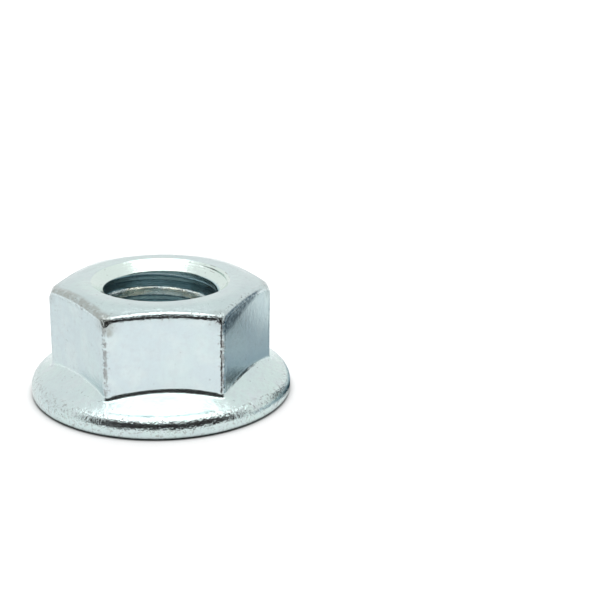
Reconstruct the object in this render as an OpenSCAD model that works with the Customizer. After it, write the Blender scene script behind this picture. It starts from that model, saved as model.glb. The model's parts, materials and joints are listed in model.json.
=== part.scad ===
/* [Hexagon] */
// Distance across the flats of the hexagon
across_flats = 14.0; // [13.6:0.05:14.4]
// Height from the bearing face to the top face
nut_height = 8.38; // [7.6:0.02:9.4]
// Radius of the six upright corners
corner_radius = 0.6; // [0.2:0.05:1]

/* [Top edge] */
// Diameter at which the slope of the crown meets the level of the top face
crown_diameter = 12.2; // [12:0.05:12.9]
// Angle of the crown below the level of the top face, in degrees
crown_angle = 17; // [15:1:25]
// Radius that blends the top face into the crown
crown_blend = 2; // [0.5:0.1:2.5]
// Diameter at which the chamfer of the corners meets the slope of the crown
chamfer_diameter = 15.45; // [15.2:0.05:15.7]
// Angle of the chamfer below the level of the top face, in degrees
chamfer_angle = 68; // [55:1:72]
// Radius that blends the crown into the chamfer
chamfer_blend = 0.5; // [0.1:0.05:0.6]

/* [Flange] */
// Diameter of the flange
flange_diameter = 19.05; // [18.5:0.05:21]
// Height at which the slope of the flange meets its outer wall
rim_height = 1.22; // [1.1:0.02:1.5]
// Angle of the flange's slope above the level, in degrees
flange_angle = 26; // [18:0.5:32]
// Radius of the upper edge of the rim
rim_upper_radius = 1.05; // [0.1:0.05:1.1]
// Radius of the lower edge of the rim
rim_lower_radius = 0.3; // [0.1:0.05:0.3]

/* [Bore] */
// Diameter of the bore, the minor diameter of a 3/8-16 UNC thread
bore_diameter = 8.15; // [7.8:0.01:8.15]
// Diameter of the countersink in the top face
top_countersink_diameter = 10.1; // [9.2:0.05:10.4]
// Diameter of the countersink in the bearing face
base_countersink_diameter = 11.1; // [9.8:0.05:11.4]
// Angle between the axis and the wall of both countersinks, in degrees
countersink_angle = 45; // [35:1:60]

/* [Hidden] */
$fn = 96;
edge_fn = 32;
zinc = [0.79, 0.83, 0.84];
overshoot = 1;
// Each edge arc bulges this far past the face it runs into, so that the two cross cleanly
arc_bulge = 0.0005;

flange_radius = flange_diameter / 2;
bore_radius = bore_diameter / 2;

// The hexagon's corners stand on a circle of this radius before they are rounded
sharp_corner_radius = across_flats / 2 / cos(30);
corner_centre_radius = (across_flats / 2 - corner_radius + arc_bulge) / cos(30);

// Both bodies reach into each other, so that no two of their faces lie in one plane
prism_foot = rim_height / 2;
slope_head_radius = across_flats / 2 - 1;
blank_radius = sharp_corner_radius + overshoot;

function on_circle(radius, angle) = radius * [cos(angle), sin(angle)];

// Direction down a slope, and the direction that its surface faces, by its angle below the level
function down_slope(angle) = [cos(angle), -sin(angle)];
function facing(angle) = [sin(angle), cos(angle)];

// Outline of the hexagon, with flats facing -Y and +Y and its rounded corners as arcs
module hexagon_outline() {
    polygon([for (corner = [0:5], side = [-30, 30])
        on_circle(corner_centre_radius, 60 * corner)
        + on_circle(corner_radius - arc_bulge, 60 * corner + side)]);
    for (corner = [0:5])
        translate(on_circle(corner_centre_radius, 60 * corner))
            circle(r = corner_radius, $fn = edge_fn);
}

// Half section of the turned blank that gives the hexagon its crown and the chamfer of its corners
module blank_section() {
    crown_corner = [crown_diameter / 2, nut_height];
    crown_slope = down_slope(crown_angle);
    crown_tangent = crown_blend * tan(crown_angle / 2);
    crown_reach = (chamfer_diameter - crown_diameter) / 2;
    chamfer_corner = crown_corner + crown_slope * crown_reach / crown_slope.x;
    chamfer_slope = down_slope(chamfer_angle);
    chamfer_tangent = chamfer_blend * tan((chamfer_angle - crown_angle) / 2);
    chamfer_reach = blank_radius - chamfer_corner.x;
    crown_inset = arc_bulge * facing(crown_angle);
    polygon([
        [0, 0],
        [blank_radius, 0],
        chamfer_corner + chamfer_slope * chamfer_reach / chamfer_slope.x,
        chamfer_corner + chamfer_tangent * chamfer_slope - arc_bulge * facing(chamfer_angle),
        chamfer_corner - chamfer_tangent * crown_slope - crown_inset,
        crown_corner + crown_tangent * crown_slope - crown_inset,
        crown_corner - [crown_tangent, 0],
        [0, nut_height]
    ]);
    translate(crown_corner - [crown_tangent, crown_blend])
        circle(r = crown_blend);
    translate(chamfer_corner - chamfer_tangent * crown_slope - chamfer_blend * facing(crown_angle))
        circle(r = chamfer_blend, $fn = edge_fn);
}

// Half section of the flange: flat below, a rounded rim, and a straight slope up to the hexagon
module flange_section() {
    corner = [flange_radius, rim_height];
    slope = down_slope(flange_angle);
    tangent_length = rim_upper_radius * tan((90 - flange_angle) / 2);
    head = corner - slope * (flange_radius - slope_head_radius) / slope.x;
    polygon([
        [0, 0],
        [flange_radius - rim_lower_radius, 0],
        [flange_radius, rim_lower_radius],
        corner - [0, tangent_length],
        corner - tangent_length * slope - arc_bulge * facing(flange_angle),
        head,
        [0, head.y]
    ]);
    translate([flange_radius - rim_lower_radius, rim_lower_radius])
        circle(r = rim_lower_radius, $fn = edge_fn);
    // Only the upper half of this disc is kept, because the rim is lower than the disc
    intersection() {
        translate(corner - [rim_upper_radius, tangent_length])
            circle(r = rim_upper_radius, $fn = edge_fn);
        translate([0, corner.y - tangent_length])
            square([flange_radius + overshoot, rim_upper_radius + overshoot]);
    }
}

// Half section of what the bore and its two countersinks remove
module bore_section() {
    widening = tan(countersink_angle);
    top_radius = top_countersink_diameter / 2;
    base_radius = base_countersink_diameter / 2;
    polygon([
        [0, -overshoot],
        [base_radius + overshoot * widening, -overshoot],
        [bore_radius, (base_radius - bore_radius) / widening],
        [bore_radius, nut_height - (top_radius - bore_radius) / widening],
        [top_radius + overshoot * widening, nut_height + overshoot],
        [0, nut_height + overshoot]
    ]);
}

// The hexagon: an upright prism that the turned blank cuts to height, crowns and chamfers
module hexagon_body() {
    intersection() {
        translate([0, 0, prism_foot])
            linear_extrude(nut_height)
                hexagon_outline();
        rotate_extrude() blank_section();
    }
}

// The whole nut, one piece of steel
module hex_flange_nut() {
    color(zinc)
        difference() {
            union() {
                hexagon_body();
                rotate_extrude() flange_section();
            }
            rotate_extrude() bore_section();
        }
}

hex_flange_nut();
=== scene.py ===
"""A zinc-plated hex flange nut with its thread and finish, in a plain white studio."""

import json
import logging
import math
from collections.abc import Sequence
from dataclasses import dataclass, field
from enum import Enum
from typing import Any

import bpy
from mathutils import Matrix, Vector

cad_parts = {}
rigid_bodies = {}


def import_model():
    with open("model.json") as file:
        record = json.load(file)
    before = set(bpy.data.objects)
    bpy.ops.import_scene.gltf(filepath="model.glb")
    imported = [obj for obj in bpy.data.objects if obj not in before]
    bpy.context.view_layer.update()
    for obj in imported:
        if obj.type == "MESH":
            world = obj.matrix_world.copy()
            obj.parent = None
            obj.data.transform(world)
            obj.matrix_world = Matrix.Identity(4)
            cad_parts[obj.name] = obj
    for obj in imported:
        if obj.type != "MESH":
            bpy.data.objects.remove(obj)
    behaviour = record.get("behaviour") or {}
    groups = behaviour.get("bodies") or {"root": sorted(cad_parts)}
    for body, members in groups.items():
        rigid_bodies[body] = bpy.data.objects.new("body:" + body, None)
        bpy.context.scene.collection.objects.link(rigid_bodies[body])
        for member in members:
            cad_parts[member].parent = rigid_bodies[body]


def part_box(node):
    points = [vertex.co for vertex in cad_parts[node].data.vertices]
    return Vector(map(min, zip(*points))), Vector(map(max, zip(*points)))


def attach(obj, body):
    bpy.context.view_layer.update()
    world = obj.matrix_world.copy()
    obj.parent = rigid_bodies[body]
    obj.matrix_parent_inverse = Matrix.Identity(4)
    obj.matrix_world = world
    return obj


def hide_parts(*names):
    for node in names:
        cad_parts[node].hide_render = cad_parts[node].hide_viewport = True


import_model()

log = logging.getLogger("hex_flange_nut")

NODE = "hex_flange_nut"
BODY = "root"

# Pieces are modelled in millimetres and brought to metres once they are finished
MILLIMETRE = 0.001
PICTURE_SIDE_PX = 600

# Angle round the axis from the middle of a flat to its corner
HALF_SIDE = math.radians(30)
UPRIGHT = math.pi / 2

Point = tuple[float, float]


class Corner(Enum):
    """The two kinds of rounded corner in a section, by the side of the arc that its centre is on."""

    OUTER = 1.0
    HOLLOW = -1.0


# Modelling by hand


def choose(piece: bpy.types.Object) -> None:
    """Selects one piece alone and makes it the active one."""
    bpy.ops.object.select_all(action="DESELECT")
    piece.select_set(True)
    bpy.context.view_layer.objects.active = piece


def added_piece(name: str) -> bpy.types.Object:
    """Names the primitive that was just added, applies its place and leaves it alone selected.

    Args:
        name: Name for the object and its mesh.

    Returns:
        The object, at the origin, with its place in its mesh.
    """
    piece = bpy.context.active_object
    piece.name = name
    piece.data.name = name
    choose(piece)
    bpy.ops.object.transform_apply(location=True, rotation=True, scale=True)
    return piece


def rounded_corner(
    corner: Point,
    facing_before: float,
    facing_after: float,
    radius: float,
    strips: int,
    kind: Corner = Corner.OUTER,
) -> list[Point]:
    """Rounds the corner where two straight stretches of a section meet.

    Args:
        corner: Radius and height of the sharp corner.
        facing_before: Angle above the level at which the stretch before it faces.
        facing_after: The same angle for the stretch after it.
        radius: Radius of the rounding.
        strips: Number of strips in the rounding.
        kind: Whether the corner stands out or is hollow.

    Returns:
        The points of the arc, in order.
    """
    half = (facing_after - facing_before) / 2
    middle = facing_before + half
    reach = kind.value * radius / math.cos(half)
    centre = (corner[0] - reach * math.cos(middle), corner[1] - reach * math.sin(middle))
    return arc(centre, radius * kind.value, facing_before, facing_after, strips)


def arc(centre: Point, radius: float, first: float, last: float, strips: int) -> list[Point]:
    """Gives points along an arc.

    Args:
        centre: Radius and height of the arc's centre.
        radius: The arc's own radius, below nought for a hollow one.
        first: Angle above the level of the first point.
        last: Angle of the last point.
        strips: Number of strips between the two.

    Returns:
        The points, in order.
    """
    points = []
    for strip in range(strips + 1):
        angle = first + (last - first) * strip / strips
        points.append((centre[0] + radius * math.cos(angle), centre[1] + radius * math.sin(angle)))
    return points


def lofted_ring(
    name: str, azimuths: Sequence[float], sections: Sequence[Sequence[Point]]
) -> bpy.types.Object:
    """Skins closed sections that stand round the Z axis.

    A bevel folds over where the top edge runs along the blend of the chamfer, so the body is made
    in this way, with every rounding in its sections.

    Args:
        name: Name for the object.
        azimuths: Angle round the axis of each section, counter-clockwise from above.
        sections: Radius and height of each section's points, as many in each, outwards over the top.

    Returns:
        The closed solid.
    """
    around = len(sections)
    along = len(sections[0])
    places = []
    for azimuth, section in zip(azimuths, sections):
        for radius, height in section:
            places.append((radius * math.cos(azimuth), radius * math.sin(azimuth), height))
    faces = []
    for turn in range(around):
        here = turn * along
        ahead = (turn + 1) % around * along
        for step in range(along):
            after = (step + 1) % along
            faces.append((here + step, here + after, ahead + after, ahead + step))
    mesh = bpy.data.meshes.new(name)
    mesh.from_pydata(places, [], faces)
    piece = bpy.data.objects.new(name, mesh)
    bpy.context.scene.collection.objects.link(piece)
    choose(piece)
    bpy.ops.object.mode_set(mode="EDIT")
    bpy.ops.mesh.select_all(action="SELECT")
    bpy.ops.mesh.normals_make_consistent(inside=False)
    bpy.ops.object.mode_set(mode="OBJECT")
    return piece


def cut_away(piece: bpy.types.Object, tool: bpy.types.Object) -> None:
    """Cuts one closed solid out of another and removes the tool.

    Args:
        piece: The solid that stays.
        tool: The solid that is cut away.
    """
    choose(piece)
    modifier = piece.modifiers.new("cut", "BOOLEAN")
    modifier.operation = "DIFFERENCE"
    modifier.solver = "EXACT"
    modifier.object = tool
    bpy.ops.object.modifier_apply(modifier=modifier.name)
    bpy.data.objects.remove(tool)


def drawn_outline(name: str, points: Sequence[Point]) -> bpy.types.Object:
    """Draws a line from point to point in the plane of X and Z and stays in edit mode.

    Args:
        name: Name for the object.
        points: Radius and height of each point.

    Returns:
        The object, in edit mode, with its last point selected.
    """
    bpy.ops.object.select_all(action="DESELECT")
    bpy.ops.mesh.primitive_plane_add(size=0.1, location=(points[0][0], 0, points[0][1]))
    piece = added_piece(name)
    bpy.ops.object.mode_set(mode="EDIT")
    bpy.ops.mesh.select_mode(type="VERT")
    bpy.ops.mesh.select_all(action="SELECT")
    bpy.ops.mesh.merge(type="CENTER")
    for (radius, height), (next_radius, next_height) in zip(points, points[1:]):
        step = (next_radius - radius, 0, next_height - height)
        bpy.ops.mesh.extrude_vertices_move(TRANSFORM_OT_translate={"value": step})
    return piece


# Shaders


class Wire:
    """An output of a shader node, on which arithmetic adds Math nodes."""

    def __init__(self, graph: "ShaderGraph", output: bpy.types.NodeSocket) -> None:
        """Keeps the output and the graph that it belongs to."""
        self.graph = graph
        self.output = output

    def __add__(self, other: "Value") -> "Wire":
        """Adds a value."""
        return self.graph.maths("ADD", self, other)

    __radd__ = __add__

    def __mul__(self, other: "Value") -> "Wire":
        """Multiplies by a value."""
        return self.graph.maths("MULTIPLY", self, other)

    __rmul__ = __mul__

    def __sub__(self, other: "Value") -> "Wire":
        """Takes a value away."""
        return self.graph.maths("SUBTRACT", self, other)

    def __rsub__(self, other: "Value") -> "Wire":
        """Takes this away from a value."""
        return self.graph.maths("SUBTRACT", other, self)

    def __truediv__(self, other: "Value") -> "Wire":
        """Divides by a value."""
        return self.graph.maths("DIVIDE", self, other)

    def __pow__(self, other: "Value") -> "Wire":
        """Raises to a power."""
        return self.graph.maths("POWER", self, other)

    def __abs__(self) -> "Wire":
        """Drops the sign."""
        return self.graph.maths("ABSOLUTE", self)


Value = Wire | float
Colour = tuple[float, float, float]

BLACK: Colour = (0.0, 0.0, 0.0)
WHITE: Colour = (1.0, 1.0, 1.0)


class ShaderGraph:
    """The node tree of a material or of the world."""

    def __init__(self, tree: bpy.types.NodeTree) -> None:
        """Empties the tree."""
        self.tree = tree
        tree.nodes.clear()

    def node(
        self,
        kind: str,
        settings: dict[str, Any] | None = None,
        inputs: dict[str | int, Any] | None = None,
    ) -> bpy.types.Node:
        """Adds a node, sets it up, and then fills its inputs.

        Args:
            kind: The node's type name.
            settings: Its own settings, such as an operation.
            inputs: A value or a wire for each input, by name or number.

        Returns:
            The node.
        """
        node = self.tree.nodes.new(kind)
        for name, value in (settings or {}).items():
            setattr(node, name, value)
        for name, value in (inputs or {}).items():
            socket = node.inputs[name]
            if isinstance(value, Wire):
                self.tree.links.new(value.output, socket)
            elif isinstance(value, tuple) and socket.type == "RGBA":
                socket.default_value = (*value, 1.0)
            else:
                socket.default_value = value
        return node

    def wire(self, node: bpy.types.Node, output: str | int = 0) -> Wire:
        """Takes one output of a node, by name or number."""
        return Wire(self, node.outputs[output])

    def maths(self, operation: str, *values: Value) -> Wire:
        """Adds a Math node on one, two or three values."""
        inputs = dict(enumerate(values))
        return self.wire(self.node("ShaderNodeMath", {"operation": operation}, inputs))

    def vector_maths(self, operation: str, inputs: dict[str | int, Any], output: str = "Vector") -> Wire:
        """Adds a Vector Math node."""
        return self.wire(self.node("ShaderNodeVectorMath", {"operation": operation}, inputs), output)

    def ramp(self, value: Value, low: float, high: float, start: float = 0.0, end: float = 1.0) -> Wire:
        """Eases from one level to another.

        Args:
            value: What is measured.
            low: Where the start level ends.
            high: Where the end level begins.
            start: Level below low.
            end: Level above high.

        Returns:
            The eased level.
        """
        inputs = {"Value": value, "From Min": low, "From Max": high, "To Min": start, "To Max": end}
        return self.wire(self.node("ShaderNodeMapRange", {"interpolation_type": "SMOOTHSTEP"}, inputs))

    def mix(self, factor: Value, first: Wire | Colour, second: Wire | Colour) -> Wire:
        """Mixes two colours."""
        inputs = {0: factor, 6: first, 7: second}
        return self.wire(self.node("ShaderNodeMix", {"data_type": "RGBA"}, inputs), 2)

    def noise(self, place: Wire, scale: float, detail: float = 2.0, roughness: float = 0.5) -> Wire:
        """Adds plain noise.

        Args:
            place: Where it is read.
            scale: Spots per unit of place.
            detail: Number of finer layers.
            roughness: Strength of the finer layers.

        Returns:
            A level about one half.
        """
        inputs = {"Vector": place, "Scale": scale, "Detail": detail, "Roughness": roughness}
        return self.wire(self.node("ShaderNodeTexNoise", {"noise_dimensions": "3D"}, inputs))

    def surface(self, shader: bpy.types.Node, output: str = "ShaderNodeOutputMaterial") -> None:
        """Ends the graph with a shader on its output node."""
        self.node(output, {}, {"Surface": self.wire(shader)})


def new_material(name: str) -> tuple[bpy.types.Material, ShaderGraph]:
    """Starts a material with an empty graph.

    Args:
        name: Name for the material.

    Returns:
        The material and its graph.
    """
    material = bpy.data.materials.new(name)
    material.use_nodes = True
    return material, ShaderGraph(material.node_tree)


# The nut


@dataclass
class Hexagon:
    """The hexagon: a prism with rounded corners, under a turned crown with a steep chamfer."""

    across_flats: float = 14.0
    corner_radius: float = 0.6
    crown_diameter: float = 12.2
    crown_angle: float = math.radians(17)
    crown_blend: float = 2.0
    chamfer_diameter: float = 15.45
    chamfer_angle: float = math.radians(68)
    edge_radius: float = 0.55
    columns_on_corner: int = 8
    columns_on_flat: int = 40
    blend_strips: int = 10
    bend_strips: int = 8
    edge_strips: int = 4

    def walls(self) -> list[Point]:
        """Walks once round the hexagon, with a flat facing -Y.

        Returns:
            Azimuth and distance from the axis of each column of the upright wall.
        """
        centre = (self.across_flats / 2 - self.corner_radius) / math.cos(HALF_SIDE)
        walls: list[Point] = []
        for corner in range(6):
            start = 2 * HALF_SIDE * corner
            for column in range(self.columns_on_corner + 1):
                facing = HALF_SIDE * (2 * column / self.columns_on_corner - 1)
                along = centre + self.corner_radius * math.cos(facing)
                across = self.corner_radius * math.sin(facing)
                walls.append((start + math.atan2(across, along), math.hypot(across, along)))
            first = walls[-1][0] - start
            for column in range(1, self.columns_on_flat):
                # Columns crowd towards the corners, where the top edge bends most
                share = (1 - math.cos(math.pi * column / self.columns_on_flat)) / 2
                azimuth = first + share * 2 * (HALF_SIDE - first)
                walls.append((start + azimuth, self.across_flats / 2 / math.cos(azimuth - HALF_SIDE)))
        return walls

    def crown_height(self, radius: float, nut_height: float) -> float:
        """Height of the crown's slope at a distance from the axis."""
        return nut_height - (radius - self.crown_diameter / 2) * math.tan(self.crown_angle)

    def section(self, wall: float, nut_height: float) -> list[Point]:
        """Draws the crown and the rounded top edge over one column of the wall.

        A disc of the edge's radius rolls inside the crown, the chamfer and the wall. Where the wall
        leaves no room for the chamfer, its two centres fall together and the edge is one arc.

        Args:
            wall: Distance of the wall from the axis.
            nut_height: Height of the top face.

        Returns:
            The points from the level top to the upright wall.
        """
        crown_facing = UPRIGHT - self.crown_angle
        chamfer_facing = UPRIGHT - self.chamfer_angle
        crown_start = (self.crown_diameter / 2, nut_height)
        points = rounded_corner(crown_start, UPRIGHT, crown_facing, self.crown_blend, self.blend_strips)
        inset = self.edge_radius
        steepening = math.tan(self.chamfer_angle) - math.tan(self.crown_angle)
        under_crown = inset / math.cos(self.crown_angle)
        under_chamfer = inset / math.cos(self.chamfer_angle)
        chamfer_start = self.chamfer_diameter / 2
        bend = chamfer_start - (under_chamfer - under_crown) / steepening
        inner = min(bend, wall - inset)
        upper = (inner, self.crown_height(inner, nut_height) - under_crown)
        drop = (wall - inset - inner) * math.tan(self.chamfer_angle)
        lower = (wall - inset, upper[1] - drop)
        points += arc(upper, inset, crown_facing, chamfer_facing, self.bend_strips)
        points += arc(lower, inset, chamfer_facing, 0.0, self.edge_strips)
        return points


@dataclass
class Flange:
    """The flange: flat below, with a rounded rim and a straight slope up to the hexagon."""

    rim_height: float = 1.22
    slope_angle: float = math.radians(26)
    rim_upper_radius: float = 1.05
    rim_lower_radius: float = 0.3
    root_fillet: float = 0.53
    root_strips: int = 6
    rim_strips: int = 14
    foot_strips: int = 6

    def section(self, wall: float, flange_radius: float) -> list[Point]:
        """Draws the hollow root, the slope and the rim beside one column of the wall.

        Args:
            wall: Distance of the hexagon's wall from the axis.
            flange_radius: Radius of the outer wall.

        Returns:
            The points from the upright wall to the bearing face.
        """
        slope_facing = UPRIGHT - self.slope_angle
        root = (wall, self.rim_height + (flange_radius - wall) * math.tan(self.slope_angle))
        rim = (flange_radius, self.rim_height)
        foot = (flange_radius, 0.0)
        hollow = Corner.HOLLOW
        points = rounded_corner(root, 0.0, slope_facing, self.root_fillet, self.root_strips, hollow)
        points += rounded_corner(rim, slope_facing, 0.0, self.rim_upper_radius, self.rim_strips)
        points += rounded_corner(foot, 0.0, -UPRIGHT, self.rim_lower_radius, self.foot_strips)
        return points


@dataclass
class ThreadedBore:
    """The bore with a countersink at each end and a right-hand thread between them."""

    minor_diameter: float = 8.15
    major_diameter: float = 9.6
    pitch: float = 1.5875
    root_width: float = 0.2
    flank_angle: float = math.radians(30)
    crest_rounding: float = 0.5
    crest_overlap: float = 0.05
    crest_slope: float = math.radians(12)
    groove_height_at_back: float = 6.88
    steps_per_turn: int = 96
    top_countersink_diameter: float = 10.1
    top_countersink_angle: float = math.radians(55)
    base_countersink_diameter: float = 11.1
    base_countersink_angle: float = math.radians(45)
    mouth_radius: float = 0.06
    bore_edge_radius: float = 0.08
    edge_strips: int = 3
    crest_strips: int = 4
    seam: float = 0.0001

    def section(self, nut_height: float) -> list[Point]:
        """Draws the bore between its two countersinks.

        Args:
            nut_height: Height of the top face.

        Returns:
            The points from the bearing face up to the top face.
        """
        bore = self.minor_diameter / 2
        base = self.base_countersink_diameter / 2
        top = self.top_countersink_diameter / 2
        mouth, edge, strips = self.mouth_radius, self.bore_edge_radius, self.edge_strips
        base_facing = self.base_countersink_angle - math.pi
        top_facing = -self.top_countersink_angle - math.pi
        base_lip = (bore, (base - bore) / math.tan(self.base_countersink_angle))
        top_lip = (bore, nut_height - (top - bore) / math.tan(self.top_countersink_angle))
        points = rounded_corner((base, 0.0), -UPRIGHT, base_facing, mouth, strips)
        points += rounded_corner(base_lip, base_facing, -math.pi, edge, strips)
        points += rounded_corner(top_lip, -math.pi, top_facing, edge, strips)
        points += rounded_corner((top, nut_height), top_facing, -3 * UPRIGHT, mouth, strips)
        return points

    def groove_tool(self, nut_height: float) -> bpy.types.Object:
        """Models the helical ridge that cuts the thread's groove.

        Args:
            nut_height: Height of the top face.

        Returns:
            The solid to cut away.
        """
        crest = self.minor_diameter / 2
        outer = self.major_diameter / 2
        half_root = self.root_width / 2
        half_mouth = half_root + (outer - crest) * math.tan(self.flank_angle)
        # A quarter turn raises the helix by a quarter of the pitch, and +Y is a quarter turn from +X
        at_start = self.groove_height_at_back - self.pitch / 4
        start = at_start - math.ceil(at_start / self.pitch + 1) * self.pitch
        turns = math.ceil((nut_height + self.pitch - start) / self.pitch)
        flank_facing = UPRIGHT - self.flank_angle
        lip = rounded_corner(
            (crest, half_mouth),
            flank_facing,
            self.crest_slope,
            self.crest_rounding,
            self.crest_strips,
            Corner.HOLLOW,
        )
        last_radius, last_height = lip[-1]
        inside = crest - self.crest_overlap
        lip.append((inside, last_height + (last_radius - inside) / math.tan(self.crest_slope)))
        upper = [(outer, half_root), *lip]
        lower = [(radius, -height) for radius, height in reversed(upper)]
        points = [(radius, start + height) for radius, height in lower + upper]
        ridge = drawn_outline("thread_groove", points)
        bpy.ops.mesh.select_all(action="SELECT")
        bpy.ops.mesh.edge_face_add()
        bpy.ops.mesh.delete(type="ONLY_FACE")
        bpy.ops.object.mode_set(mode="OBJECT")
        choose(ridge)
        screw = ridge.modifiers.new("helix", "SCREW")
        screw.axis = "Z"
        screw.angle = math.tau
        screw.screw_offset = self.pitch
        screw.iterations = turns
        screw.steps = self.steps_per_turn
        screw.render_steps = self.steps_per_turn
        bpy.ops.object.modifier_apply(modifier=screw.name)
        bpy.ops.object.mode_set(mode="EDIT")
        bpy.ops.mesh.select_all(action="SELECT")
        bpy.ops.mesh.remove_doubles(threshold=self.seam)
        bpy.ops.mesh.select_all(action="SELECT")
        bpy.ops.mesh.fill_holes(sides=0)
        bpy.ops.mesh.select_all(action="SELECT")
        bpy.ops.mesh.normals_make_consistent(inside=False)
        bpy.ops.object.mode_set(mode="OBJECT")
        return ridge


class Zones:
    """Where a shaded point lies on the nut: lengths in millimetres, zones from 0 to 1."""

    def __init__(self, graph: ShaderGraph, hexagon: Hexagon, flange: Flange, bore: ThreadedBore) -> None:
        """Measures the point against the nut's own sizes.

        Args:
            graph: The material's graph.
            hexagon: The hexagon that the finish is for.
            flange: The flange below it.
            bore: The bore through it.
        """
        box_low, box_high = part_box(NODE)
        top = box_high.z / MILLIMETRE
        flange_radius = (box_high.x - box_low.x) / 2 / MILLIMETRE
        coordinates = graph.wire(graph.node("ShaderNodeTexCoord"), "Object")
        self.place = graph.vector_maths("SCALE", {0: coordinates, "Scale": 1 / MILLIMETRE})
        parts = graph.node("ShaderNodeSeparateXYZ", {}, {0: self.place})
        across, along, height = (graph.wire(parts, axis) for axis in "XYZ")
        self.radius = (across * across + along * along) ** 0.5
        azimuth = graph.maths("ARCTAN2", along, across)
        off_corner = graph.maths("PINGPONG", azimuth, HALF_SIDE)
        beside_corner = self.radius * graph.maths("SINE", off_corner)
        from_middle = self.radius * graph.maths("COSINE", HALF_SIDE - off_corner)
        flats = hexagon.across_flats / 2
        mouth = bore.top_countersink_diameter / 2
        crest = bore.minor_diameter / 2
        root = bore.major_diameter / 2

        # The walls and edges of the hexagon
        slope = (flange_radius - self.radius) * math.tan(flange.slope_angle) + flange.rim_height
        crown = top - (self.radius - hexagon.crown_diameter / 2) * math.tan(hexagon.crown_angle)
        clear_of_root = graph.ramp(height - slope, 0.15, 0.4)
        self.wall = graph.ramp(from_middle, flats - 0.2, flats - 0.1) * clear_of_root
        self.upright_edge = graph.ramp(beside_corner, 0.1, 0.5, 1.0, 0.0) * self.wall
        self.edge_line = graph.ramp(beside_corner, 0.08, 0.2, 1.0, 0.0) * self.wall
        near_crown = graph.ramp(crown - height, 0.2, 0.6, 1.0, 0.0)
        self.top_edge = near_crown * graph.ramp(from_middle, flats - 0.5, flats - 0.25)
        near_corner = graph.ramp(beside_corner, 0.2, 1.3, 1.0, 0.0)
        near_corner = near_corner * graph.ramp(self.radius, flats, flats + 0.6)
        self.top_corner = near_corner * graph.ramp(height, top - 1.8, top - 1.0)
        level = graph.ramp(self.radius, mouth, flats - 0.2, 1.0, 0.0)
        self.top_face = (1.0 - level) * graph.ramp(height, top - 1.0, top - 0.4)
        self.rim = graph.ramp(self.radius, flange_radius - 0.75, flange_radius - 0.35)

        # The edge at the right of the front flat took a harder knock than the others
        ragged = graph.noise(self.place, 3.0, 3.0, 0.6) * 0.3 - 0.03
        off_edge = across * math.cos(HALF_SIDE) + along * math.sin(HALF_SIDE)
        self.knocked_edge = graph.ramp(abs(off_edge + ragged), 0.03, 0.09, 1.0, 0.0) * self.wall
        self.knocked_edge = self.knocked_edge * graph.ramp(across, 3.0, 3.6)

        # The painted dark reflection, a strip under the right flat's top edge, narrows from the front
        # corner to the right one
        to_right = across * math.sin(HALF_SIDE) + along * math.cos(HALF_SIDE)
        outward = across * math.cos(HALF_SIDE) - along * math.sin(HALF_SIDE)
        above_strip = height - (to_right * 0.25 + (top - 1.18))
        self.painted_reflection = graph.ramp(above_strip, 0.0, 0.5) * graph.ramp(outward, flats - 0.15, flats - 0.07)

        # The chafed strip lies on the crown along its left front edge
        leftward = 0.0 - across * math.cos(HALF_SIDE) - along * math.sin(HALF_SIDE)
        self.chafed = graph.ramp(leftward, flats - 0.7, flats - 0.35)
        self.chafed = self.chafed * graph.ramp(leftward, flats - 0.07, flats - 0.02, 1.0, 0.0)
        self.chafed = self.chafed * graph.ramp(height, top - 1.88, top - 1.58)

        # The bore: the thread, its crests seen from above, and the countersink over it
        lip = top - (mouth - crest) / math.tan(bore.top_countersink_angle)
        inside = graph.ramp(self.radius, root, root + 0.1, 1.0, 0.0)
        self.thread = inside * graph.ramp(height, lip - 0.15, lip, 1.0, 0.0)
        self.crest = graph.ramp(self.radius, crest + 0.08, crest + 0.2, 1.0, 0.0) * self.thread
        self.crest = self.crest * graph.ramp(height, top - 1.68, top - 1.38, 1.0, 0.0)
        self.countersink = graph.ramp(self.radius, mouth - 0.1, mouth, 1.0, 0.0) * (1.0 - self.thread)
        self.turned_ring = graph.ramp(self.radius, crest + 0.025, crest + 0.125)
        self.turned_ring = self.turned_ring * graph.ramp(self.radius, mouth - 0.25, mouth - 0.05, 1.0, 0.0)

        # Marks of the tap run along the thread, so this place is stretched four times that way
        run = graph.node("ShaderNodeCombineXYZ", {}, {0: azimuth * crest / 4, 1: self.radius, 2: height})
        self.along_thread = graph.wire(run)
        off_runout = abs(azimuth - math.radians(22))
        self.runout = graph.ramp(off_runout, math.radians(18), math.radians(26), 1.0, 0.0)
        self.runout = self.runout * graph.ramp(self.radius, mouth - 0.55, mouth - 0.45)
        self.runout = self.runout * graph.ramp(self.radius, mouth - 0.05, mouth, 1.0, 0.0)


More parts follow.
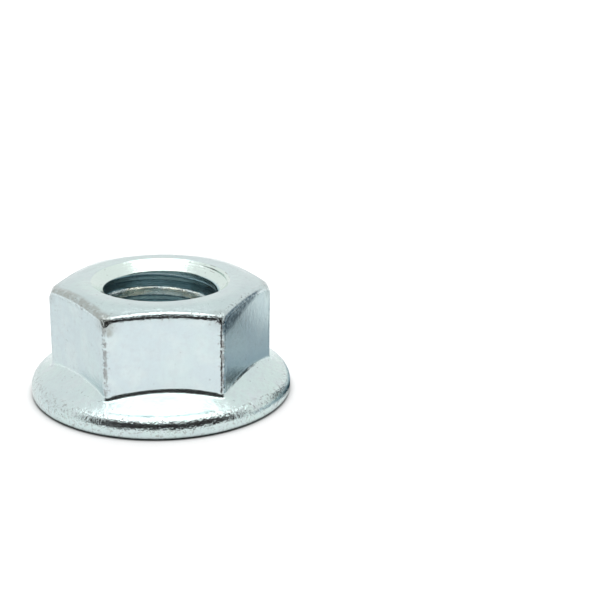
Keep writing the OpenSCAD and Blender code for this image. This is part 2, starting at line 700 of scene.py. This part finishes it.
@dataclass(frozen=True)
class ZincPlating:
    """Bright zinc on steel: satin, clouded from blue to green, battered and worn along the edges."""

    name: str = "zinc_plating"
    blue: Colour = (0.60, 0.70, 0.725)
    green: Colour = (0.635, 0.773, 0.742)
    grey: Colour = (0.55, 0.66, 0.665)
    pale: Colour = (0.65, 0.74, 0.75)
    mottled: Colour = (0.56, 0.61, 0.64)
    cut: Colour = (0.72, 0.83, 0.775)
    # Painted shade for the thread's grooves
    thread_shade: Colour = (0.48, 0.64, 0.69)
    pit: Colour = (0.22, 0.23, 0.23)
    worn: Colour = (0.15, 0.13, 0.115)
    bare: Colour = (0.05, 0.045, 0.045)
    grit: Colour = (0.34, 0.36, 0.35)
    gold: Colour = (0.95, 0.88, 0.66)
    # Colour of the painted dark reflection on the right flat
    painted_reflection_colour: Colour = (0.045, 0.10, 0.135)
    chafe: Colour = (0.37, 0.395, 0.37)
    roughness: float = 0.18
    rough_spread: float = 0.08
    edge_polish: float = 0.07
    ring_pitch: float = 0.22
    tap_mark_pitch: float = 0.17

    def material(self, hexagon: Hexagon, flange: Flange, bore: ThreadedBore) -> bpy.types.Material:
        """Builds the material for one nut.

        Args:
            hexagon: The nut's hexagon, for the places of its edges.
            flange: The nut's flange.
            bore: The nut's bore.

        Returns:
            The material, ready for a piece's slot.
        """
        material, graph = new_material(self.name)
        zones = Zones(graph, hexagon, flange, bore)
        edges = graph.maths("MAXIMUM", zones.upright_edge, zones.top_edge)
        edges = graph.maths("MAXIMUM", edges, zones.top_corner)
        battered = graph.maths("MAXIMUM", edges, zones.rim)
        grain = graph.noise(zones.place, 4.0, 3.0, 0.6)
        torn = zones.crest * graph.ramp(graph.noise(zones.along_thread, 5.0, 2.0), 0.4, 0.6, 0.0, 0.15)
        roughness = self.roughness + self.rough_spread * graph.ramp(grain, 0.4, 0.75)
        roughness = roughness + torn - battered * self.edge_polish
        shader = graph.node(
            "ShaderNodeBsdfPrincipled",
            {},
            {
                "Base Color": self._colour(graph, zones, edges),
                "Metallic": 1.0,
                "Roughness": roughness,
                "Normal": self._relief(graph, zones, grain, battered),
            },
        )
        graph.surface(shader)
        return material

    def _colour(self, graph: ShaderGraph, zones: Zones, edges: Wire) -> Wire:
        """Clouds the plating, paints shade into the thread's grooves, and adds pits, worn edges, this nut's
        own marks and a painted dark reflection on the right flat.

        Args:
            graph: The material's graph.
            zones: The zones of the nut.
            edges: Zone of the edges that wear.

        Returns:
            The base colour.
        """
        clouds = graph.noise(zones.place, 0.35, 3.0)
        greener = (1.0 - zones.wall) * 0.7 + graph.ramp(clouds, 0.35, 0.65, -0.3, 0.3)
        colour = graph.mix(greener, self.blue, self.green)
        paler = graph.ramp(graph.noise(zones.place, 0.7, 4.0, 0.6), 0.45, 0.75)
        colour = graph.mix(paler, colour, self.pale)
        mottles = graph.ramp(graph.noise(zones.place, 2.2, 4.0, 0.7), 0.4, 0.7)
        colour = graph.mix(mottles * (zones.top_face * 0.25 + 0.35), colour, self.mottled)
        colour = graph.mix(zones.top_face * 0.7, colour, self.grey)
        colour = graph.mix(zones.countersink * 0.8, colour, self.cut)
        # Painted shade in the thread's grooves, darker than the plating outside
        colour = graph.mix((zones.thread - zones.crest) * 0.85, colour, self.thread_shade)
        pits = graph.ramp(graph.noise(zones.place, 5.0, 1.0), 0.70, 0.78)
        colour = graph.mix(pits * 0.45, colour, self.pit)
        specks = graph.ramp(graph.noise(zones.place, 5.0, 4.0, 0.7), 0.54, 0.66)
        broken = graph.ramp(graph.noise(zones.place, 2.2, 4.0, 0.7), 0.42, 0.58)
        worn = graph.maths("MAXIMUM", specks * edges * 0.7, zones.edge_line * broken * 0.6)
        colour = graph.mix(zones.top_corner * 0.35, colour, self.grit)
        colour = graph.mix(worn, colour, self.worn)
        knocks = graph.ramp(graph.noise(zones.place, 3.4, 3.0, 0.65), 0.36, 0.48)
        colour = graph.mix(zones.knocked_edge * knocks, colour, self.bare)
        chafing = graph.ramp(graph.noise(zones.place, 1.6, 5.0, 0.75), 0.36, 0.58, 0.15, 0.85)
        colour = graph.mix(zones.chafed * chafing, colour, self.chafe)
        # Painted dark reflection on the right flat, spotted, mixed into the base colour
        reflection_spots = graph.ramp(graph.noise(zones.place, 4.0, 4.0, 0.75), 0.38, 0.6, 0.5, 1.0)
        colour = graph.mix(zones.painted_reflection * reflection_spots, colour, self.painted_reflection_colour)
        stains = graph.ramp(graph.noise(zones.along_thread, 1.6, 3.0, 0.6), 0.45, 0.6)
        colour = graph.mix(zones.crest * stains * 0.5, colour, self.gold)
        tap_marks = graph.maths("SINE", zones.radius * (math.tau / self.tap_mark_pitch))
        tap_marks = graph.ramp(tap_marks, 0.4, 0.9)
        tap_marks = tap_marks * graph.ramp(graph.noise(zones.place, 1.2, 2.0), 0.42, 0.55)
        colour = graph.mix(zones.runout * tap_marks * 0.7, colour, self.grit)
        grit = graph.ramp(graph.noise(zones.place, 4.2, 4.0, 0.75), 0.5, 0.66)
        return graph.mix(zones.rim * grit * 0.8, colour, self.grit)

    def _relief(self, graph: ShaderGraph, zones: Zones, grain: Wire, edges: Wire) -> Wire:
        """Raises the grain, slow waves, battered edges, torn crests and the turned rings of the mouth.

        Args:
            graph: The material's graph.
            zones: The zones of the nut.
            grain: The fine noise that the roughness shares.
            edges: Zone of the battered edges.

        Returns:
            The shading normal.
        """
        waves = graph.noise(zones.place, 0.8, 2.0) * (0.045 - zones.wall * 0.03)
        battered = graph.noise(zones.place, 2.6, 2.0, 0.6) * edges * 0.03
        sparkle = graph.noise(zones.place, 7.0, 2.0, 0.6) * edges * 0.03
        torn = graph.noise(zones.along_thread, 5.0, 3.0, 0.65) * zones.crest * 0.10
        rings = graph.maths("SINE", zones.radius * (math.tau / self.ring_pitch)) * zones.turned_ring
        height = grain * 0.010 + waves + battered + sparkle + torn + rings * 0.0022
        bump = graph.node("ShaderNodeBump", {}, {"Strength": 1.0, "Distance": MILLIMETRE, "Height": height})
        return graph.wire(bump, "Normal")


@dataclass
class HexFlangeNut:
    """The whole nut, one piece of zinc-plated steel."""

    hexagon: Hexagon = field(default_factory=Hexagon)
    flange: Flange = field(default_factory=Flange)
    bore: ThreadedBore = field(default_factory=ThreadedBore)
    finish: ZincPlating = field(default_factory=ZincPlating)
    smooth_angle: float = math.radians(32)
    merge_distance: float = 0.0005
    face_weight: int = 90

    def build(self) -> bpy.types.Object:
        """Models the nut over the CAD solid's sizes.

        Returns:
            The finished mesh, in metres.
        """
        lowest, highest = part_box(NODE)
        nut_height = highest.z / MILLIMETRE
        flange_radius = (highest.x - lowest.x) / 2 / MILLIMETRE
        bore = self.bore.section(nut_height)
        azimuths = []
        sections = []
        for azimuth, wall in self.hexagon.walls():
            azimuths.append(azimuth)
            outside = self.hexagon.section(wall, nut_height) + self.flange.section(wall, flange_radius)
            sections.append(outside + bore)
        nut = lofted_ring("nut_body", azimuths, sections)
        log.info("body: %d columns of %d points", len(sections), len(sections[0]))
        cut_away(nut, self.bore.groove_tool(nut_height))
        self._finish_mesh(nut)
        return nut

    def _finish_mesh(self, nut: bpy.types.Object) -> None:
        """Brings the nut to metres, smooths its shading and keeps its flats flat.

        Args:
            nut: The modelled nut, in millimetres.
        """
        choose(nut)
        bpy.ops.object.mode_set(mode="EDIT")
        bpy.ops.mesh.select_all(action="SELECT")
        bpy.ops.mesh.remove_doubles(threshold=self.merge_distance)
        bpy.ops.object.mode_set(mode="OBJECT")
        nut.scale = (MILLIMETRE,) * 3
        bpy.ops.object.transform_apply(location=True, rotation=True, scale=True)
        bpy.ops.object.shade_smooth_by_angle(angle=self.smooth_angle)
        weighted = nut.modifiers.new("flat_faces", "WEIGHTED_NORMAL")
        weighted.keep_sharp = True
        weighted.weight = self.face_weight
        bpy.ops.object.modifier_apply(modifier=weighted.name)

    def dress(self, nut: bpy.types.Object) -> None:
        """Gives the nut its finish and puts it in the CAD node's place.

        Args:
            nut: The finished mesh.
        """
        nut.data.materials.clear()
        nut.data.materials.append(self.finish.material(self.hexagon, self.flange, self.bore))
        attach(nut, BODY)
        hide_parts(NODE)


# The studio


@dataclass(frozen=True)
class Softbox:
    """A wide soft lamp that faces down."""

    name: str
    width: float
    depth: float
    middle_y: float
    height: float = 4.0
    radiance: float = 1.5

    def hang(self) -> None:
        """Hangs the lamp over the nut."""
        data = bpy.data.lights.new(self.name, "AREA")
        data.shape = "RECTANGLE"
        data.size = self.width
        data.size_y = self.depth
        data.energy = self.radiance * math.pi * self.width * self.depth
        lamp = bpy.data.objects.new(self.name, data)
        lamp.location = (0, self.middle_y, self.height)
        bpy.context.scene.collection.objects.link(lamp)


def show_in_metal_only(card: bpy.types.Object) -> None:
    """Makes a card part of the stage that only reflections show."""
    card.visible_camera = False
    card.visible_diffuse = False
    card.visible_shadow = False


@dataclass(frozen=True)
class DarkSpot:
    """A round, soft-edged dark spot on a card."""

    middle: Point
    reach: Point

    def darken(self, graph: ShaderGraph, place: tuple[Wire, Wire], colour: Wire, dark: Colour) -> Wire:
        """Mixes the dark colour in.

        Args:
            graph: The card's graph.
            place: X and Y on the card in millimetres.
            colour: The card's colour so far.
            dark: The spot's colour.

        Returns:
            The colour with the spot.
        """
        beside = place[0] - self.middle[0]
        beyond = place[1] - self.middle[1]
        away = (beside * beside + beyond * beyond) ** 0.5
        return graph.mix(graph.ramp(away, *self.reach), dark, colour)


@dataclass(frozen=True)
class GreyCard:
    """A shaded card on the floor, which shows in the flat and the rim that face it."""

    name: str
    left: float
    right: float
    front: float = -10.0
    back: float = 20.0
    lift: float = 0.02
    grey: Colour = (0.44, 0.52, 0.555)
    near_grey: Colour = (0.31, 0.42, 0.475)
    far_grey: Colour = (0.93, 1.0, 1.0)
    near_fade: Point = (10.5, 15.0)
    far_fade: Point = (5.0, 10.5)
    dark: Colour = (0.02, 0.045, 0.06)
    spots: tuple[DarkSpot, ...] = ()

    def lay(self) -> None:
        """Lays the card, unseen by the camera and without a shadow."""
        bpy.ops.object.select_all(action="DESELECT")
        middle = ((self.left + self.right) / 2, (self.front + self.back) / 2, self.lift)
        bpy.ops.mesh.primitive_plane_add(size=MILLIMETRE, location=[value * MILLIMETRE for value in middle])
        bpy.ops.transform.resize(value=(self.right - self.left, self.back - self.front, 1))
        card = added_piece(self.name)
        material, graph = new_material(self.name)
        coordinates = graph.wire(graph.node("ShaderNodeTexCoord"), "Object")
        place = graph.vector_maths("SCALE", {0: coordinates, "Scale": 1 / MILLIMETRE})
        parts = graph.node("ShaderNodeSeparateXYZ", {}, {0: place})
        across, along = graph.wire(parts, "X"), graph.wire(parts, "Y")
        colour = graph.mix(graph.ramp(across, *self.near_fade), self.near_grey, self.grey)
        colour = graph.mix(graph.ramp(along, *self.far_fade), colour, self.far_grey)
        for spot in self.spots:
            colour = spot.darken(graph, (across, along), colour, self.dark)
        graph.surface(graph.node("ShaderNodeEmission", {}, {"Color": colour, "Strength": 1.0}))
        card.data.materials.append(material)
        show_in_metal_only(card)


@dataclass(frozen=True)
class DarkFlag:
    """A small dark card that stands to the right, for the top and the root of the right flat."""

    middle: Point = (19.25, 2.1)
    width: float = 7.1
    height: float = 5.0
    facing: float = math.radians(-21)
    colour: Colour = (0.01, 0.022, 0.03)

    def stand(self) -> None:
        """Stands the flag up, unseen by the camera and without a shadow."""
        bpy.ops.object.select_all(action="DESELECT")
        middle = (*self.middle, self.height / 2)
        bpy.ops.mesh.primitive_plane_add(
            size=MILLIMETRE,
            location=[value * MILLIMETRE for value in middle],
            rotation=(math.pi / 2, 0, self.facing + math.pi / 2),
        )
        bpy.context.active_object.scale = (self.width, self.height, 1)
        flag = added_piece("dark_flag")
        material, graph = new_material("dark_flag")
        graph.surface(graph.node("ShaderNodeEmission", {}, {"Color": self.colour, "Strength": 1.0}))
        flag.data.materials.append(material)
        show_in_metal_only(flag)


@dataclass
class Studio:
    """A white floor under an even sky, two soft lamps overhead, and dark and grey cards."""

    sky: float = 0.95
    floor_colour: Colour = (0.88, 0.88, 0.88)
    floor_glow: float = 0.15
    floor_side: float = 4.0
    floor_drop: float = 0.00001
    clear_of_nut: Point = (9.45, 10.1)
    # Ring of painted contact shadow on the floor under the rim, and its colour
    painted_shadow_ring: Point = (9.35, 9.6)
    painted_shadow_colour: Colour = (0.25, 0.25, 0.25)
    softboxes: tuple[Softbox, ...] = (
        Softbox("front_softbox", 6.8, 2.0, -0.9),
        Softbox("rear_softbox", 2.75, 2.3, 1.15),
    )
    # The dark spot on the right card is painted shadow: the floor's shade just outside the rim, which only
    # the metal shows
    right_card: GreyCard = GreyCard(
        "right_card", 9.6, 34.0, spots=(DarkSpot((9.7, -1.5), (1.0, 2.8)),)
    )
    left_card: GreyCard = GreyCard(
        "left_card",
        -34.0,
        -9.7,
        grey=(0.96, 0.98, 0.98),
        near_grey=(0.96, 0.98, 0.98),
        far_grey=(0.96, 0.98, 0.98),
    )
    flag: DarkFlag = DarkFlag()
    curtain_radius: float = 0.6
    curtain_top: float = math.radians(50)
    curtain_half_turn: float = math.radians(68)
    curtain_colour: Colour = (0.06, 0.054, 0.055)
    curtain_strips: int = 12
    curtain_columns: int = 32

    def build(self) -> None:
        """Sets the floor, the sky, the lamps, the curtain and the cards."""
        self._build_sky()
        self._build_floor()
        for softbox in self.softboxes:
            softbox.hang()
        self._build_curtain()
        self.right_card.lay()
        self.left_card.lay()
        self.flag.stand()

    def _build_sky(self) -> None:
        """Makes the world an even white."""
        world = bpy.data.worlds.new("studio_sky")
        world.use_nodes = True
        graph = ShaderGraph(world.node_tree)
        light = graph.node("ShaderNodeBackground", {}, {"Color": WHITE, "Strength": self.sky})
        graph.surface(light, "ShaderNodeOutputWorld")
        bpy.context.scene.world = world

    def _build_floor(self) -> None:
        """Lays the floor, which looks white to the camera and in the metal."""
        bpy.ops.object.select_all(action="DESELECT")
        bpy.ops.mesh.primitive_plane_add(size=self.floor_side, location=(0, 0, -self.floor_drop))
        floor = added_piece("studio_floor")
        material, graph = new_material("white_sheet")
        rays = graph.node("ShaderNodeLightPath")
        seen = graph.wire(rays, "Is Camera Ray") + graph.wire(rays, "Is Glossy Ray")
        seen = seen + graph.wire(rays, "Is Transmission Ray")
        coordinates = graph.wire(graph.node("ShaderNodeTexCoord"), "Object")
        away = graph.vector_maths("LENGTH", {0: coordinates}, "Value") / MILLIMETRE
        # The glow stops short of the nut, so that it doesn't wash out the shadow
        glow = graph.mix(graph.ramp(away, *self.clear_of_nut), BLACK, WHITE)
        sheet = graph.node("ShaderNodeBsdfDiffuse", {}, {"Color": self._floor_with_painted_shadow(graph, away)})
        light = graph.node("ShaderNodeEmission", {}, {"Color": glow, "Strength": seen * self.floor_glow})
        both = graph.node("ShaderNodeAddShader", {}, {0: graph.wire(sheet), 1: graph.wire(light)})
        graph.surface(both)
        floor.data.materials.append(material)

    def _floor_with_painted_shadow(self, graph: ShaderGraph, away: Wire) -> Wire:
        """Paints a contact shadow onto the sheet in a narrow ring under the flange's lower edge.

        Args:
            graph: The floor's graph.
            away: Distance from the nut's axis in millimetres.

        Returns:
            The floor's colour, with the painted shadow.
        """
        inner, outer = self.painted_shadow_ring
        # Painted contact shadow: darker in a ring just inside and under the rim
        shadow_ring = graph.ramp(away, inner - 1.0, inner) * graph.ramp(away, inner, outer, 1.0, 0.0)
        return graph.mix(shadow_ring, self.floor_colour, self.painted_shadow_colour)

    def _build_curtain(self) -> None:
        """Hangs the dark curtain round the camera's side, unseen by the camera itself."""
        fall = arc((0.0, 0.0), self.curtain_radius, 0.0, self.curtain_top, self.curtain_strips)
        curtain = drawn_outline("dark_curtain", fall)
        bpy.ops.mesh.select_all(action="SELECT")
        start = self.curtain_half_turn - UPRIGHT
        bpy.ops.transform.rotate(value=-start, orient_axis="Z", center_override=(0, 0, 0))
        turn = 2 * self.curtain_half_turn
        bpy.ops.mesh.spin(steps=self.curtain_columns, angle=turn, center=(0, 0, 0), axis=(0, 0, 1))
        bpy.ops.object.mode_set(mode="OBJECT")
        material, graph = new_material("dark_cloth")
        graph.surface(graph.node("ShaderNodeBsdfDiffuse", {}, {"Color": self.curtain_colour}))
        curtain.data.materials.append(material)
        curtain.visible_camera = False


@dataclass
class PhotoCamera:
    """The camera, at the photograph's viewing angle."""

    focal_px: float = 1190.97
    distance: float = 0.089805
    elevation: float = math.radians(23.077)
    turn: float = math.radians(1.176)
    roll: float = math.radians(1.177)
    base_centre_px: Point = (162.592, 385.379)
    sensor_width: float = 36.0

    def build(self) -> bpy.types.Object:
        """Places the camera so that the base's centre falls on its pixel.

        Returns:
            The camera.
        """
        half = PICTURE_SIDE_PX / 2
        back = Vector((
            -math.cos(self.elevation) * math.sin(self.turn),
            -math.cos(self.elevation) * math.cos(self.turn),
            math.sin(self.elevation),
        ))
        right = Vector((-back.y, back.x, 0)).normalized()
        up = back.cross(right)
        view = Matrix((right, up, back))
        rolled = Matrix.Rotation(self.roll, 3, "Z") @ view
        aside = (self.base_centre_px[0] - half) / self.focal_px
        above = (half - self.base_centre_px[1]) / self.focal_px
        aim = Vector((0, 0, -1)).rotation_difference(Vector((aside, above, -1)))
        world_to_camera = aim.to_matrix() @ rolled
        data = bpy.data.cameras.new("photo_camera")
        data.sensor_fit = "HORIZONTAL"
        data.sensor_width = self.sensor_width
        data.lens = self.sensor_width * self.focal_px / PICTURE_SIDE_PX
        data.clip_start = 0.001
        data.clip_end = 20.0
        camera = bpy.data.objects.new("photo_camera", data)
        turned = world_to_camera.transposed().to_4x4()
        camera.matrix_world = Matrix.Translation(back * self.distance) @ turned
        bpy.context.scene.collection.objects.link(camera)
        bpy.context.scene.camera = camera
        return camera


def main() -> None:
    """Builds the nut and the studio and logs the size of the nut's mesh."""
    logging.basicConfig(level=logging.INFO, format="%(name)s: %(message)s", force=True)
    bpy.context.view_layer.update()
    PhotoCamera().build()
    nut = HexFlangeNut()
    body = nut.build()
    nut.dress(body)
    log.info("nut_body: %d faces", len(body.data.polygons))
    Studio().build()
    bpy.context.scene.view_settings.view_transform = "Standard"


if __name__ == "__main__":
    main()
